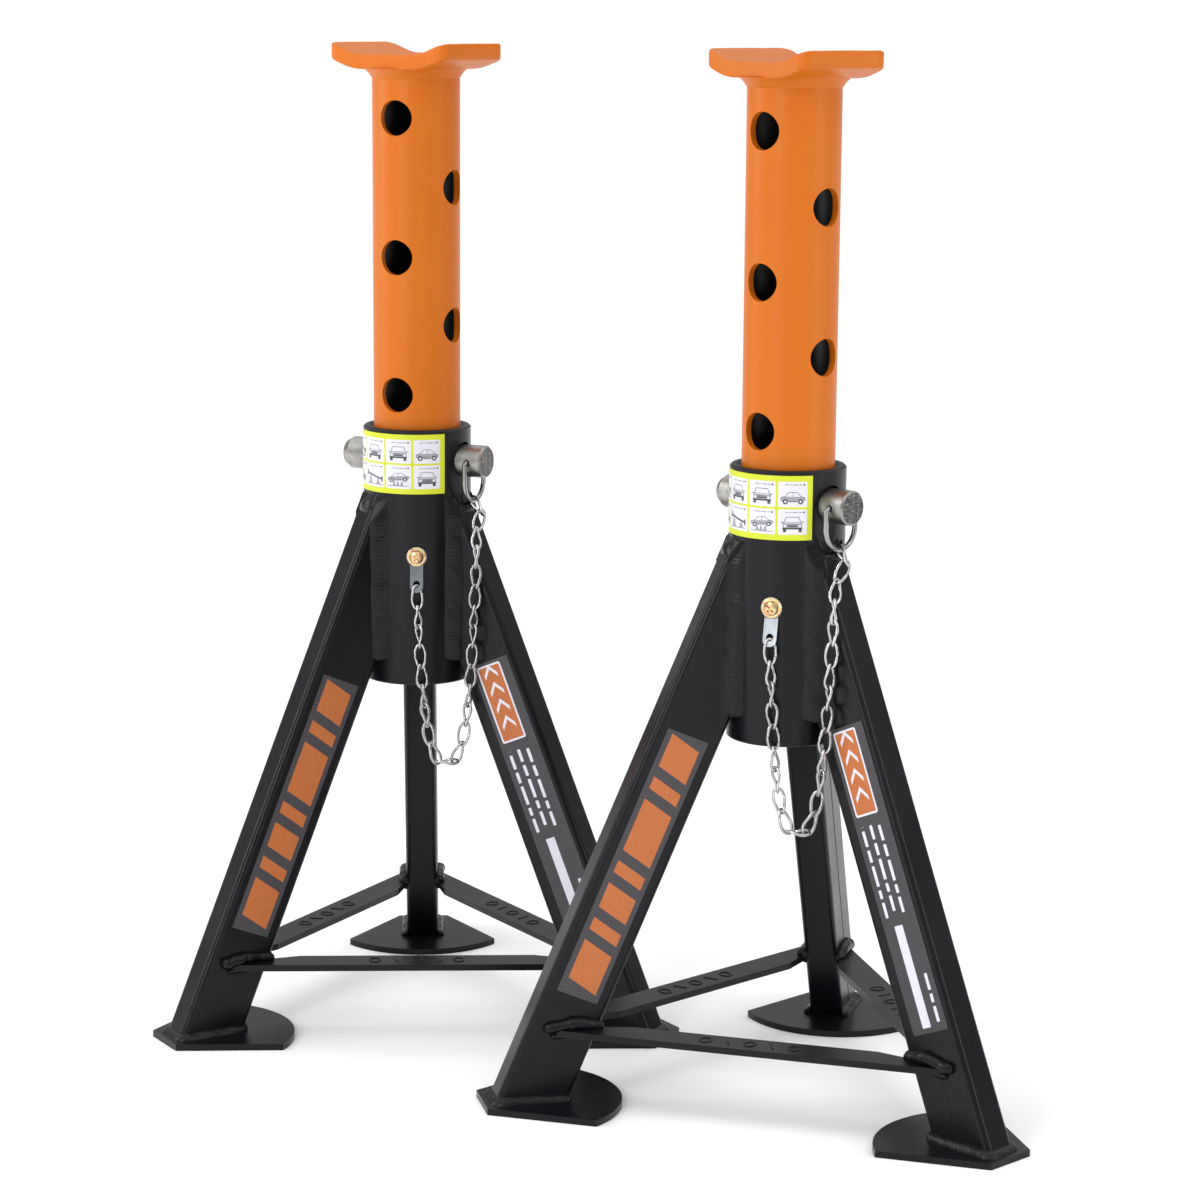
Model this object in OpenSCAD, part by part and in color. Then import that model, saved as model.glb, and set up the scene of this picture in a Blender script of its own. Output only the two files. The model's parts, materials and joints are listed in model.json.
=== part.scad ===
// Pair of axle jack stands: three-legged tube frame, telescoping column with
// staggered pin holes, trough saddle, locking pin on a ring and a keeper chain.

/* [Layout] */
// distance between the two column axes (mm)
stand_spacing = 277; // [270:1:700]
// turn of stand A about its own column (degrees)
yaw_a = 19.7; // [14:0.1:24]
// turn of stand B about its own column (degrees)
yaw_b = 38.6; // [34:0.1:42]
// height setting of stand A, 0 is fully raised, 5 fully lowered
height_a = 0; // [0:1:5]
// height setting of stand B, 0 is fully raised, 5 fully lowered
height_b = 0; // [0:1:5]

/* [Sleeve] */
// outside diameter of the fixed sleeve (mm)
sleeve_od = 67.2; // [66.4:0.1:68.4]
// inside diameter of the fixed sleeve (mm)
sleeve_id = 55.2; // [54.8:0.1:57]
// height of the sleeve rim above the floor (mm)
sleeve_top = 374; // [372:0.5:384]
// height of the sleeve's lower end above the floor (mm)
sleeve_bottom = 214; // [205:0.5:222]

/* [Column] */
// outside diameter of the sliding column (mm)
column_od = 54; // [51:0.1:54.4]
// wall thickness of the column (mm)
column_wall = 4; // [3:0.1:5]
// height of the column top when fully raised (mm)
column_top = 593; // [588:0.5:600]
// column left below the locking hole (mm)
column_tail = 60; // [25:1:80]
// distance from one height setting to the next (mm)
hole_step = 42.3; // [40:0.1:43]
// number of height settings
hole_count = 6; // [4:1:6]

/* [Saddle] */
// saddle size across the trough (mm)
saddle_len = 94; // [88:0.5:100]
// saddle size along the trough (mm)
saddle_wide = 60; // [56:0.5:70]
// saddle plate thickness (mm)
saddle_t = 9.4; // [7:0.1:10]
// width of the level trough floor (mm)
trough_flat = 38; // [28:0.5:42]
// bend radius of the trough, plate mid-line (mm)
trough_r = 42; // [30:1:44]
// slope of the two wings (degrees)
wing_angle = 18.5; // [12:0.5:22]
// turn of the saddle about the column in the stand's own frame (degrees)
saddle_angle = -38.5; // [-60:0.5:-20]

/* [Locking pin] */
// pin diameter (mm)
pin_d = 20.1; // [19.5:0.1:20.4]
// diameter of the pin holes in sleeve and column (mm)
pin_hole_d = 21.6; // [21.2:0.1:22]
// height of the pin hole in the sleeve (mm)
pin_z = 354; // [353:0.5:355]
// direction of the pin's ring end in the stand's own frame (degrees)
pin_angle = -28; // [-28.5:0.5:-27.5]
// pin reach from the column axis on the ring side (mm)
pin_near = 49.4; // [49:0.1:50]
// pin reach from the column axis on the far side (mm)
pin_far = 49; // [44:0.1:56]
// distance of the ring's cross hole from the pin's end (mm)
ring_inset = 9.1; // [8.8:0.1:9.4]
// ring wire diameter (mm)
ring_wire = 3; // [2.6:0.1:3.1]
// drop of the ring below its hole (mm)
ring_drop = 24.8; // [24.5:0.1:25.2]

/* [Legs] */
// radius of the legs' outer face projected to the floor (mm)
leg_reach = 175.2; // [168:0.5:178]
// lean of the legs from vertical (degrees)
leg_lean = 23.1; // [21:0.1:24]
// leg tube size in the leaning direction (mm)
leg_deep = 40.4; // [36:0.1:44]
// leg tube size side to side (mm)
leg_wide = 21; // [18:0.1:22]
// leg tube wall (mm)
leg_wall = 3; // [2:0.1:4]
// outside corner radius of the leg tube (mm)
leg_corner = 3.6; // [3.2:0.1:5]

/* [Feet] */
// radius of the foot plate's outer edge (mm)
foot_out = 179.5; // [178:0.5:190]
// half width of the foot plate's outer edge (mm)
foot_tip = 16.7; // [14:0.1:18]
// radius of the foot plate's two wide corners (mm)
foot_mid = 122.4; // [118:0.5:128]
// half width across the wide corners (mm)
foot_half = 49.2; // [44:0.1:54]
// radius of the inner edge at the leg's centre line (mm)
foot_in = 97; // [92:0.5:106]
// foot plate thickness (mm)
foot_t = 4; // [3:0.1:6]

/* [Braces] */
// underside of the brace bars above the floor (mm)
brace_z = 43; // [36:0.5:60]
// brace bar width (mm)
brace_wide = 20; // [16:0.5:24]
// brace bar thickness (mm)
brace_t = 4; // [3:0.1:6]
// distance from the column axis to the bar's centre line (mm)
brace_mid = 70; // [66:0.5:74]

/* [Keeper tab and chain] */
// height of the tab's screw above the floor (mm)
screw_z = 295.5; // [290:0.5:300]
// distance from the screw down to the chain hole (mm)
tab_drop = 16.5; // [15:0.5:18]
// chain wire diameter (mm)
link_wire = 1.8; // [1.5:0.1:1.9]
// outside width of a chain link (mm)
link_wide = 8.4; // [8:0.1:8.8]
// number of links in one chain
link_count = 24; // [22:2:26]
// lowest point of the hanging chain above the floor (mm)
chain_low = 163; // [160:1:166]
// tightness of the chain's lower bend (mm)
chain_bend = 4.6; // [4.4:0.1:4.9]

/* [View] */
// node to draw

/* [Hidden] */
$fn = 64;
eps = 0.02;

black = [0.17, 0.17, 0.18];
orange = [0.89, 0.48, 0.16];
steel = [0.62, 0.61, 0.59];
zinc = [0.72, 0.74, 0.76];
brassy = [0.78, 0.64, 0.36];
lime = [0.84, 0.89, 0.13];
panel = [0.24, 0.23, 0.25];

leg_left = 210;
leg_right = 330;
leg_back = 90;
sleeve_r = sleeve_od / 2;
column_r = column_od / 2;
play = (pin_hole_d - pin_d) / 2;
// the column rests on the pin and the pin rests in the sleeve
pin_axis_z = pin_z - play + eps;
column_hole_z = pin_axis_z - play + eps;
ring_r = pin_near - ring_inset;
leg_slope = tan(leg_lean);
leg_across = leg_deep / cos(leg_lean);

// footprint corners of one stand, used to centre the pair on its bounding box
function turned(x, y, a) = [x * cos(a) - y * sin(a), x * sin(a) + y * cos(a)];
function corners(cx, yaw) = [for (leg = [leg_left, leg_right, leg_back], s = [-1, 1],
    c = [[foot_out, foot_tip], [foot_mid, foot_half]])
    turned(c[0], s * c[1], leg + yaw) + [cx, 0]];
all_corners = concat(corners(stand_spacing / 2, yaw_a), corners(-stand_spacing / 2, yaw_b));
xs = [for (c = all_corners) c[0]];
ys = [for (c = all_corners) c[1]];
mid_x = (max(xs) + min(xs)) / 2;
mid_y = (max(ys) + min(ys)) / 2;

module stand_a() translate([stand_spacing / 2 - mid_x, -mid_y, 0]) rotate(yaw_a) children();
module stand_b() translate([-stand_spacing / 2 - mid_x, -mid_y, 0]) rotate(yaw_b) children();
module raised(setting) translate([0, 0, -setting * hole_step]) rotate(setting % 2 * 90) children();
module on_pin() translate([0, 0, pin_axis_z]) rotate(pin_angle) children();

// ---- frame -----------------------------------------------------------------

module sleeve() color(black) difference() {
  rotate_extrude() polygon([
    [sleeve_id / 2, sleeve_bottom + 0.8], [sleeve_id / 2 + 0.8, sleeve_bottom],
    [sleeve_r - 0.8, sleeve_bottom], [sleeve_r, sleeve_bottom + 0.8],
    [sleeve_r, sleeve_top - 1.2], [sleeve_r - 1.2, sleeve_top],
    [sleeve_id / 2 + 2.4, sleeve_top], [sleeve_id / 2, sleeve_top - 2.4]]);
  translate([0, 0, pin_z]) rotate(pin_angle) rotate([0, 90, 0])
    cylinder(h = 2 * sleeve_od, d = pin_hole_d, center = true);
  translate([0, 0, screw_z]) rotate([90, 0, 0]) cylinder(h = sleeve_od, d = 5.04);
}

module rounded(x, y, r) {
  square([x, y - 2 * r], center = true);
  square([x - 2 * r, y], center = true);
  for (i = [-1, 1], j = [-1, 1]) translate([i * (x / 2 - r), j * (y / 2 - r)]) circle(r = r);
}

module tube_section(inset) translate([-leg_deep / 2, 0])
  rounded(leg_deep - 2 * inset, leg_wide - 2 * inset, leg_corner - 0.9 * inset);

module leg_run(inset) translate([leg_reach, 0, 0]) rotate([0, -leg_lean, 0])
  translate([0, 0, -30]) linear_extrude((sleeve_top + 8) / cos(leg_lean)) tube_section(inset);

module leg(angle) color(black) rotate(angle) difference() {
  leg_run(0);
  leg_run(leg_wall);
  translate([0, 0, -100]) cylinder(h = 600, r = sleeve_r + eps);
  translate([0, -100, -200]) cube([400, 200, 200 + foot_t + eps]);
}

function arc_r() = (pow(foot_half, 2) + pow(foot_mid - foot_in, 2)) / (2 * (foot_mid - foot_in));
module foot(angle) color(black) rotate(angle) linear_extrude(foot_t) intersection() {
  polygon([[foot_out, foot_tip], [foot_out, -foot_tip], [foot_mid, -foot_half],
    [foot_in - 1, -foot_half], [foot_in - 1, foot_half], [foot_mid, foot_half]]);
  translate([foot_in + arc_r(), 0]) circle(r = arc_r(), $fn = 96);
}

// level bar between two neighbouring legs, ends cut to the legs' side faces
function side_face(x) = (x - leg_wide / 2 * sin(60)) * tan(60) - leg_wide / 2 * cos(60) - eps;
module brace(angle) {
  x0 = brace_mid - brace_wide / 2;
  x1 = brace_mid + brace_wide / 2;
  touch = x0 + 7;
  color(black) rotate(angle) translate([0, 0, brace_z]) linear_extrude(brace_t) polygon([
    [x0, side_face(x0) - 10], [touch, side_face(touch)], [x1 - 1.5, side_face(x1 - 1.5)],
    [x1, side_face(x1 - 1.5) - 2], [x1, 2 - side_face(x1 - 1.5)],
    [x1 - 1.5, -side_face(x1 - 1.5)], [touch, -side_face(touch)], [x0, 10 - side_face(x0)]]);
}

// ---- column and saddle -------------------------------------------------------

module column() {
  low = column_hole_z - column_tail;
  top = column_top;
  color(orange) rotate(pin_angle) difference() {
    rotate_extrude() polygon([[column_r - column_wall, low], [column_r - 0.8, low],
      [column_r, low + 0.8], [column_r, top], [column_r - column_wall, top]]);
    for (i = [0 : hole_count - 1]) translate([0, 0, column_hole_z + i * hole_step])
      rotate([0, 90, i % 2 * 90]) cylinder(h = column_od * 2, d = pin_hole_d, center = true);
  }
}

// mid-line of the saddle plate, from the trough floor out to one wing tip
function trough(s) = s < trough_flat / 2 ? [s, 0] :
  let (a = min(wing_angle, (s - trough_flat / 2) / trough_r * 180 / PI),
       rest = s - trough_flat / 2 - trough_r * wing_angle * PI / 180)
  [trough_flat / 2 + trough_r * sin(a), trough_r * (1 - cos(a))]
    + max(0, rest) * [cos(wing_angle), sin(wing_angle)];
function slope(s) = max(0, min(wing_angle, (s - trough_flat / 2) / trough_r * 180 / PI));
function skin(s, side) = trough(s) + side * saddle_t / 2 * [-sin(slope(s)), cos(slope(s))];
wing_end = trough_flat / 2 + trough_r * wing_angle * PI / 180
  + (saddle_len / 2 - trough_flat / 2 - trough_r * sin(wing_angle)) / cos(wing_angle);
stations = concat([0, trough_flat / 2],
  [for (a = [3 : 3 : wing_angle - 0.1]) trough_flat / 2 + trough_r * a * PI / 180], [wing_end]);
module saddle_profile() polygon(concat(
  [for (s = stations) skin(s, 1)],
  [for (i = [len(stations) - 1 : -1 : 0]) skin(stations[i], -1)],
  [for (i = [1 : len(stations) - 1]) [-skin(stations[i], -1)[0], skin(stations[i], -1)[1]]],
  [for (i = [len(stations) - 1 : -1 : 1]) [-skin(stations[i], 1)[0], skin(stations[i], 1)[1]]]));

module saddle() color(orange) rotate(saddle_angle) translate([0, 0, column_top + eps]) {
  intersection() {
    translate([0, saddle_wide / 2, saddle_t / 2]) rotate([90, 0, 0])
      linear_extrude(saddle_wide) saddle_profile();
    linear_extrude(60) rounded(saddle_len - 2, saddle_wide, 7);
  }
}

// ---- locking pin and ring ------------------------------------------------------

module pin() color(steel) on_pin() difference() {
  rotate([0, 90, 0]) rotate_extrude() polygon([[0, -pin_far], [pin_d / 2 - 2.4, -pin_far],
    [pin_d / 2, -pin_far + 4], [pin_d / 2, pin_near - 1], [pin_d / 2 - 1, pin_near], [0, pin_near]]);
  translate([ring_r, 0, 0]) rotate([90, 0, 0])
    cylinder(h = pin_d * 2, d = ring_wire + 1, center = true);
}

// closed D loop through the pin's cross hole
module ring() {
  w = ring_wire / 2;
  bend = 2.2;
  half = pin_d / 2 + 0.3 + bend;
  side = ring_drop - bend - half;
  color(steel) on_pin() translate([ring_r, 0, 0]) rotate([90, 0, 90]) {
    translate([bend - half, 0, 0]) rotate([0, 90, 0]) cylinder(h = 2 * (half - bend), r = w);
    for (s = [0, 1]) mirror([s, 0, 0]) {
      translate([half - bend, -bend, 0]) rotate_extrude(angle = 90) translate([bend, 0]) circle(r = w);
      translate([half, -bend, 0]) rotate([90, 0, 0]) cylinder(h = side, r = w);
    }
    translate([0, -bend - side, 0]) rotate([0, 0, 180]) rotate_extrude(angle = 180)
      translate([half, 0]) circle(r = w);
  }
}

// ---- keeper tab, screw and chain -------------------------------------------------

tab_t = 1.5;
tab_bend = 6.3;
tab_hole_z = screw_z - tab_drop;
tab_tip = tab_hole_z - 5.2;
tab_hole_d = 4.2;
tab_face = sleeve_r + eps;
tab_slope = 3.2 / (tab_drop - tab_bend);
chain_y = -(tab_face + 4.6);

// round eye under the screw head, then a straight strap leaning away from the sleeve
module tab() color(zinc) difference() {
  union() {
    translate([0, -tab_face, screw_z]) rotate([90, 0, 0]) cylinder(h = tab_t, d = 12.6);
    intersection() {
      translate([-4, -tab_face, 0]) rotate([90, 0, 90]) linear_extrude(8) polygon([
        [0, screw_z], [0, screw_z - tab_bend], [-tab_slope * (screw_z - tab_bend - tab_tip), tab_tip],
        [-tab_slope * (screw_z - tab_bend - tab_tip) - 1.04 * tab_t, tab_tip],
        [-tab_t, screw_z - tab_bend + 0.2], [-tab_t, screw_z]]);
      union() {
        translate([-4, -60, tab_hole_z - 1.2]) cube([8, 60, 30]);
        translate([0, 0, tab_hole_z - 1.2]) rotate([90, 0, 0]) cylinder(h = 60, d = 8);
      }
    }
  }
  translate([0, 0, screw_z]) rotate([90, 0, 0]) cylinder(h = 60, d = 5.4);
  translate([0, 0, tab_hole_z]) rotate([90, 0, 0]) cylinder(h = 60, d = tab_hole_d);
}

module screw() color(brassy) translate([0, -tab_face, screw_z]) rotate([90, 0, 0]) difference() {
  rotate_extrude() polygon([[0, -5.4], [2.1, -5.4], [2.5, -5], [2.5, tab_t + eps], [5.9, tab_t + eps],
    [6, tab_t + 0.5], [5.6, tab_t + 0.9], [4.4, tab_t + 1], [4.3, tab_t + 1.9], [3.7, tab_t + 2.9],
    [2.4, tab_t + 3.5], [0, tab_t + 3.7]]);
  for (a = [45, 135]) rotate(a) translate([-2.5, -0.5, tab_t + 1.6]) cube([5, 1, 4]);
}

ring_low = [ring_r * cos(pin_angle), ring_r * sin(pin_angle), pin_axis_z - ring_drop];
chain_top = tab_hole_z - tab_hole_d / 2 + link_wire / 2 + 0.4;
// catenary by arc length, measured from its lowest point
function asinh(v) = ln(v + sqrt(v * v + 1));
function rise(s) = sqrt(chain_bend * chain_bend + s * s) - chain_bend;
function arc_to(h) = sqrt(pow(h + chain_bend, 2) - chain_bend * chain_bend);
s_left = arc_to(chain_top - chain_low);
s_turn = arc_to(ring_low[2] - 27.6 - chain_low);
x_mid = chain_bend * asinh(s_left / chain_bend);
turn_x = x_mid + chain_bend * asinh(s_turn / chain_bend);
function hang(s) = [x_mid + chain_bend * asinh(s / chain_bend), chain_y, chain_low + rise(s)];
// last stretch leans over the leg's corner to the ring
function lean(u) = let (a = hang(s_turn), b = a + [-4.25, 10.5, 16.4], c = ring_low + [13, -1.4, -1.1])
  pow(1 - u, 3) * a + 3 * u * pow(1 - u, 2) * b + 3 * u * u * (1 - u) * c + pow(u, 3) * ring_low;
route = concat([for (i = [0 : 60]) hang(-s_left + (s_left + s_turn) * i / 60)],
  [for (i = [1 : 16]) lean(i / 16)]);
function walked(i) = i == 0 ? 0 : walked(i - 1) + norm(route[i] - route[i - 1]);
miles = [for (i = [0 : len(route) - 1]) walked(i)];
function at(s) = [for (k = [0 : 2]) lookup(s, [for (i = [0 : len(route) - 1]) [miles[i], route[i][k]]])];
// the last link's far end sits under the ring, the first link's inside the tab hole
end_gap = ring_wire / 2 + link_wire / 2 + 0.1;
slack = 0.4;
pitch = (miles[len(miles) - 1] + end_gap - link_wire - slack) / link_count;
link_half = (pitch + link_wire + slack) / 2;
link_bend = (link_wide - link_wire) / 2;

module link() {
  straight = link_half - link_bend;
  for (m = [0, 1]) mirror([0, 0, m]) translate([0, 0, straight]) rotate([90, 0, 0])
    rotate_extrude(angle = 180) translate([link_bend, 0]) circle(r = link_wire / 2);
  for (x = [-link_bend, link_bend]) translate([x, 0, -straight])
    cylinder(h = 2 * straight, r = link_wire / 2);
}

// neighbouring links meet at points one pitch apart and stand at right angles
module links(first, last) color(steel) for (i = [first : last]) {
  from = at(link_half + (i - 0.5) * pitch);
  to = at(link_half + (i + 0.5) * pitch);
  way = to - from;
  turn = atan2(way[1], way[0]);
  translate((from + to) / 2) rotate([0, acos(way[2] / norm(way)), turn])
    rotate(90 * (1 - i % 2) - turn + pin_angle * i / (link_count - 1)) link();
}

// ---- stick-on labels ---------------------------------------------------------------

label_t = 0.25;
module label_sleeve(edge) color(lime) rotate(edge - 130) translate([0, 0, 334.5])
  rotate_extrude(angle = 130) translate([sleeve_r + eps, 0]) square([label_t, 37]);

module leg_label(angle, side, wide, inset, from, to) color(panel) rotate(angle)
  translate([leg_reach, side * (leg_wide / 2 + eps), 0]) rotate([0, -leg_lean, 0])
  translate([-inset - wide, side > 0 ? 0 : -label_t, from]) cube([wide, label_t, to - from]);

// ---- assembly ------------------------------------------------------------------------

stand_a() sleeve();  // a_sleeve
stand_a() leg(leg_left);  // a_leg_left
stand_a() leg(leg_right);  // a_leg_right
stand_a() leg(leg_back);  // a_leg_back
stand_a() foot(leg_left);  // a_foot_left
stand_a() foot(leg_right);  // a_foot_right
stand_a() foot(leg_back);  // a_foot_back
stand_a() brace(leg_left + 60);  // a_brace_front
stand_a() brace(leg_left - 60);  // a_brace_left
stand_a() brace(leg_right + 60);  // a_brace_right
stand_a() raised(height_a) column();  // a_column
stand_a() raised(height_a) saddle();  // a_saddle
stand_a() pin();  // a_pin
stand_a() ring();  // a_ring
stand_a() tab();  // a_tab
stand_a() screw();  // a_screw
stand_a() links(0, 3);  // a_chain_tab_end
stand_a() links(4, 10);  // a_chain_tab_run
stand_a() links(11, link_count - 5);  // a_chain_pin_run
stand_a() links(link_count - 4, link_count - 1);  // a_chain_pin_end
stand_a() label_sleeve(-52);  // a_label_sleeve
stand_a() leg_label(leg_left, 1, 26, 7, 80, 246);  // a_label_left
stand_a() leg_label(leg_right, -1, 27, 4, 79, 258);  // a_label_right
stand_b() sleeve();  // b_sleeve
stand_b() leg(leg_left);  // b_leg_left
stand_b() leg(leg_right);  // b_leg_right
stand_b() leg(leg_back);  // b_leg_back
stand_b() foot(leg_left);  // b_foot_left
stand_b() foot(leg_right);  // b_foot_right
stand_b() foot(leg_back);  // b_foot_back
stand_b() brace(leg_left + 60);  // b_brace_front
stand_b() brace(leg_left - 60);  // b_brace_left
stand_b() brace(leg_right + 60);  // b_brace_right
stand_b() raised(height_b) column();  // b_column
stand_b() raised(height_b) saddle();  // b_saddle
stand_b() pin();  // b_pin
stand_b() ring();  // b_ring
stand_b() tab();  // b_tab
stand_b() screw();  // b_screw
stand_b() links(0, 3);  // b_chain_tab_end
stand_b() links(4, 10);  // b_chain_tab_run
stand_b() links(11, link_count - 5);  // b_chain_pin_run
stand_b() links(link_count - 4, link_count - 1);  // b_chain_pin_end
stand_b() label_sleeve(-59);  // b_label_sleeve
stand_b() leg_label(leg_left, 1, 26, 7, 80, 246);  // b_label_left
stand_b() leg_label(leg_right, -1, 27, 4, 79, 258);  // b_label_right
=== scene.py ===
import json
import math
import bmesh
import bpy
from mathutils import Matrix, Vector


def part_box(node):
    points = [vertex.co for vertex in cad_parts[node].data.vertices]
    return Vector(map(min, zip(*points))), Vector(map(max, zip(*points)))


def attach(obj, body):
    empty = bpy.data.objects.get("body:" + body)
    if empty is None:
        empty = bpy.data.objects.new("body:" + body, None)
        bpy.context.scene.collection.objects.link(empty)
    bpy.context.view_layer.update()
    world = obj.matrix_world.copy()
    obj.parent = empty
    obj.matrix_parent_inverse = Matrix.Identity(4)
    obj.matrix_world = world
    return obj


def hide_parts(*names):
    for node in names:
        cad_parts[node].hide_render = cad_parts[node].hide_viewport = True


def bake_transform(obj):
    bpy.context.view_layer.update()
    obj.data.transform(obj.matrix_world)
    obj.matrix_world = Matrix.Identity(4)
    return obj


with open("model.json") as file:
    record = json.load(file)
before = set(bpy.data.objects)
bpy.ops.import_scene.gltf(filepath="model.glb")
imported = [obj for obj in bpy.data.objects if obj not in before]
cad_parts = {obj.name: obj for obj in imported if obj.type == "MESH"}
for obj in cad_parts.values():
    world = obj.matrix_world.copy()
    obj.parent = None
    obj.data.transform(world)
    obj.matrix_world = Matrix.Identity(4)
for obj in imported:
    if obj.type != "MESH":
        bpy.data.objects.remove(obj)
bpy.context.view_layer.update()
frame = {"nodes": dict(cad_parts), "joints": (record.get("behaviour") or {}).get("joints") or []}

MM = 0.001
NODES = frame["nodes"]


# ---------------------------------------------------------------- places

def centre_of(node):
    lo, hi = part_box(node)
    return (Vector(lo) + Vector(hi)) / 2


def joint(name):
    return next(j for j in frame["joints"] if j["name"] == name)


class Stand:
    """Turns the stand's own millimetres into the row frame's metres."""

    def __init__(self, key):
        self.key = key
        c = centre_of(key + "_sleeve")
        way = joint(key + "_tab_swing")["axis"]
        self.yaw = math.atan2(way[1], way[0]) + math.radians(90)
        self.m = Matrix.Translation((c.x, c.y, 0)) @ Matrix.Rotation(self.yaw, 4, "Z") @ Matrix.Scale(MM, 4)
        self.frame = key + "_frame"

    def n(self, name):
        return self.key + "_" + name


STANDS = [Stand("a"), Stand("b")]

# ---------------------------------------------------------------- camera, floor, light

CAMERA_AT = (1120.1, -1550.4, 635.2)
CAMERA_TOWARDS = (-0.5935, 0.8048, 0)
CAMERA_PITCH, CAMERA_ROLL = math.radians(10.495), math.radians(0.405)
CAMERA_LENS, CAMERA_SENSOR = 97.1, 36
FLOOR_HALF = 400


def camera():
    place = Vector(CAMERA_AT) * MM
    pitch, roll = CAMERA_PITCH, CAMERA_ROLL
    look = Vector(CAMERA_TOWARDS).normalized() * math.cos(pitch) + Vector((0, 0, -math.sin(pitch)))
    right = look.cross(Vector((0, 0, 1))).normalized()
    up = right.cross(look).normalized()
    r = right * math.cos(roll) + up * math.sin(roll)
    u = up * math.cos(roll) - right * math.sin(roll)
    m = Matrix.Identity(4)
    for i in range(3):
        m[i][0], m[i][1], m[i][2], m[i][3] = r[i], u[i], -look[i], place[i]
    data = bpy.data.cameras.new("camera")
    data.lens = CAMERA_LENS
    data.sensor_width = CAMERA_SENSOR
    data.clip_start = 0.05
    data.clip_end = 900  # metres, past the far edge of the floor
    cam = bpy.data.objects.new("camera", data)
    cam.matrix_world = m
    bpy.context.scene.collection.objects.link(cam)
    bpy.context.scene.camera = cam


def area(name, place, size, power, target=(0, 0, 0.3)):
    data = bpy.data.lights.new(name, "AREA")
    data.shape = "RECTANGLE"
    data.size, data.size_y = size
    data.energy = power
    o = bpy.data.objects.new(name, data)
    o.location = place
    o.rotation_euler = (Vector(target) - Vector(place)).to_track_quat("-Z", "Y").to_euler()
    bpy.context.scene.collection.objects.link(o)


def shader(name):
    m = bpy.data.materials.new(name)
    m.use_nodes = True
    return m, m.node_tree, m.node_tree.nodes["Principled BSDF"]


def stage():
    me = bpy.data.meshes.new("floor")
    h = FLOOR_HALF
    me.from_pydata([(-h, -h, 0), (h, -h, 0), (h, h, 0), (-h, h, 0)], [], [(0, 1, 2, 3)])
    floor = bpy.data.objects.new("floor", me)
    bpy.context.scene.collection.objects.link(floor)
    m, tree, bsdf = shader("floor")
    bsdf.inputs["Base Color"].default_value = (0.95, 0.95, 0.955, 1)
    bsdf.inputs["Roughness"].default_value = 0.95
    bsdf.inputs["Specular IOR Level"].default_value = 0.05
    me.materials.append(m)
    # a big soft light overhead that fades down to a dark band, with a pale strip at the horizon
    world = bpy.data.worlds.new("world")
    world.use_nodes = True
    tree = world.node_tree
    back = tree.nodes["Background"]
    back.inputs["Strength"].default_value = 1.6
    co = tree.nodes.new("ShaderNodeTexCoord")
    sep = tree.nodes.new("ShaderNodeSeparateXYZ")
    ramp_node = tree.nodes.new("ShaderNodeValToRGB")
    tree.links.new(co.outputs["Generated"], sep.inputs[0])
    tree.links.new(sep.outputs["Z"], ramp_node.inputs[0])
    tree.links.new(ramp_node.outputs[0], back.inputs["Color"])
    el = ramp_node.color_ramp.elements
    el[0].position, el[0].color = 0.0, (0.75, 0.75, 0.75, 1)
    el[1].position, el[1].color = 1.0, (0.88, 0.88, 0.88, 1)
    for pos, v in ((0.018, 0.75), (0.03, 0.12), (0.2, 0.2), (0.5, 0.55), (0.75, 0.82)):
        e = el.new(pos)
        e.color = (v, v, v, 1)
    bpy.context.scene.world = world
    bpy.context.scene.view_settings.view_transform = "Standard"
    area("key", (0.05, -2.2, 1.2), (0.5, 1.8), 17, target=(0, 0, 0.32))
    area("left", (-1.9, -1.1, 1.1), (0.5, 1.6), 14)
    area("right", (2.1, 0.3, 0.9), (0.5, 1.6), 9)


camera()
stage()


# ---------------------------------------------------------------- mesh helpers

SHARP_ANGLE = math.radians(62)


def build(name, st, verts, faces, mat, body=None, smooth=True, replaces=(), rides=True):
    """A mesh piece given in the stand's own millimetres. It rides its stand's frame unless told otherwise."""
    me = bpy.data.meshes.new(st.n(name))
    me.from_pydata([st.m @ Vector(v) for v in verts], [], faces)
    me.validate()
    bm = bmesh.new()
    bm.from_mesh(me)
    bmesh.ops.recalc_face_normals(bm, faces=bm.faces)
    bm.to_mesh(me)
    bm.free()
    me.materials.append(mat)
    if smooth:
        me.shade_smooth()
        me.set_sharp_from_angle(angle=SHARP_ANGLE)
    o = bpy.data.objects.new(st.n(name), me)
    bpy.context.scene.collection.objects.link(o)
    if replaces:
        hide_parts(*[st.n(r) for r in replaces])
    if rides:
        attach(o, body or st.frame)
    return o


def noise(x, seed):
    """Smooth repeatable waviness, from -1 to 1."""
    return (math.sin(x * 1.31 + seed * 2.7) + math.sin(x * 2.93 + seed * 5.1) * 0.6
            + math.sin(x * 6.1 + seed * 1.9) * 0.35) / 1.95


def densify(points, step):
    """The same line with a point about every step."""
    dense = [Vector(points[0])]
    for a, b in zip(points, points[1:]):
        a, b = Vector(a), Vector(b)
        n = max(1, int((b - a).length / step))
        dense += [a.lerp(b, i / n) for i in range(1, n + 1)]
    return dense


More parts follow.
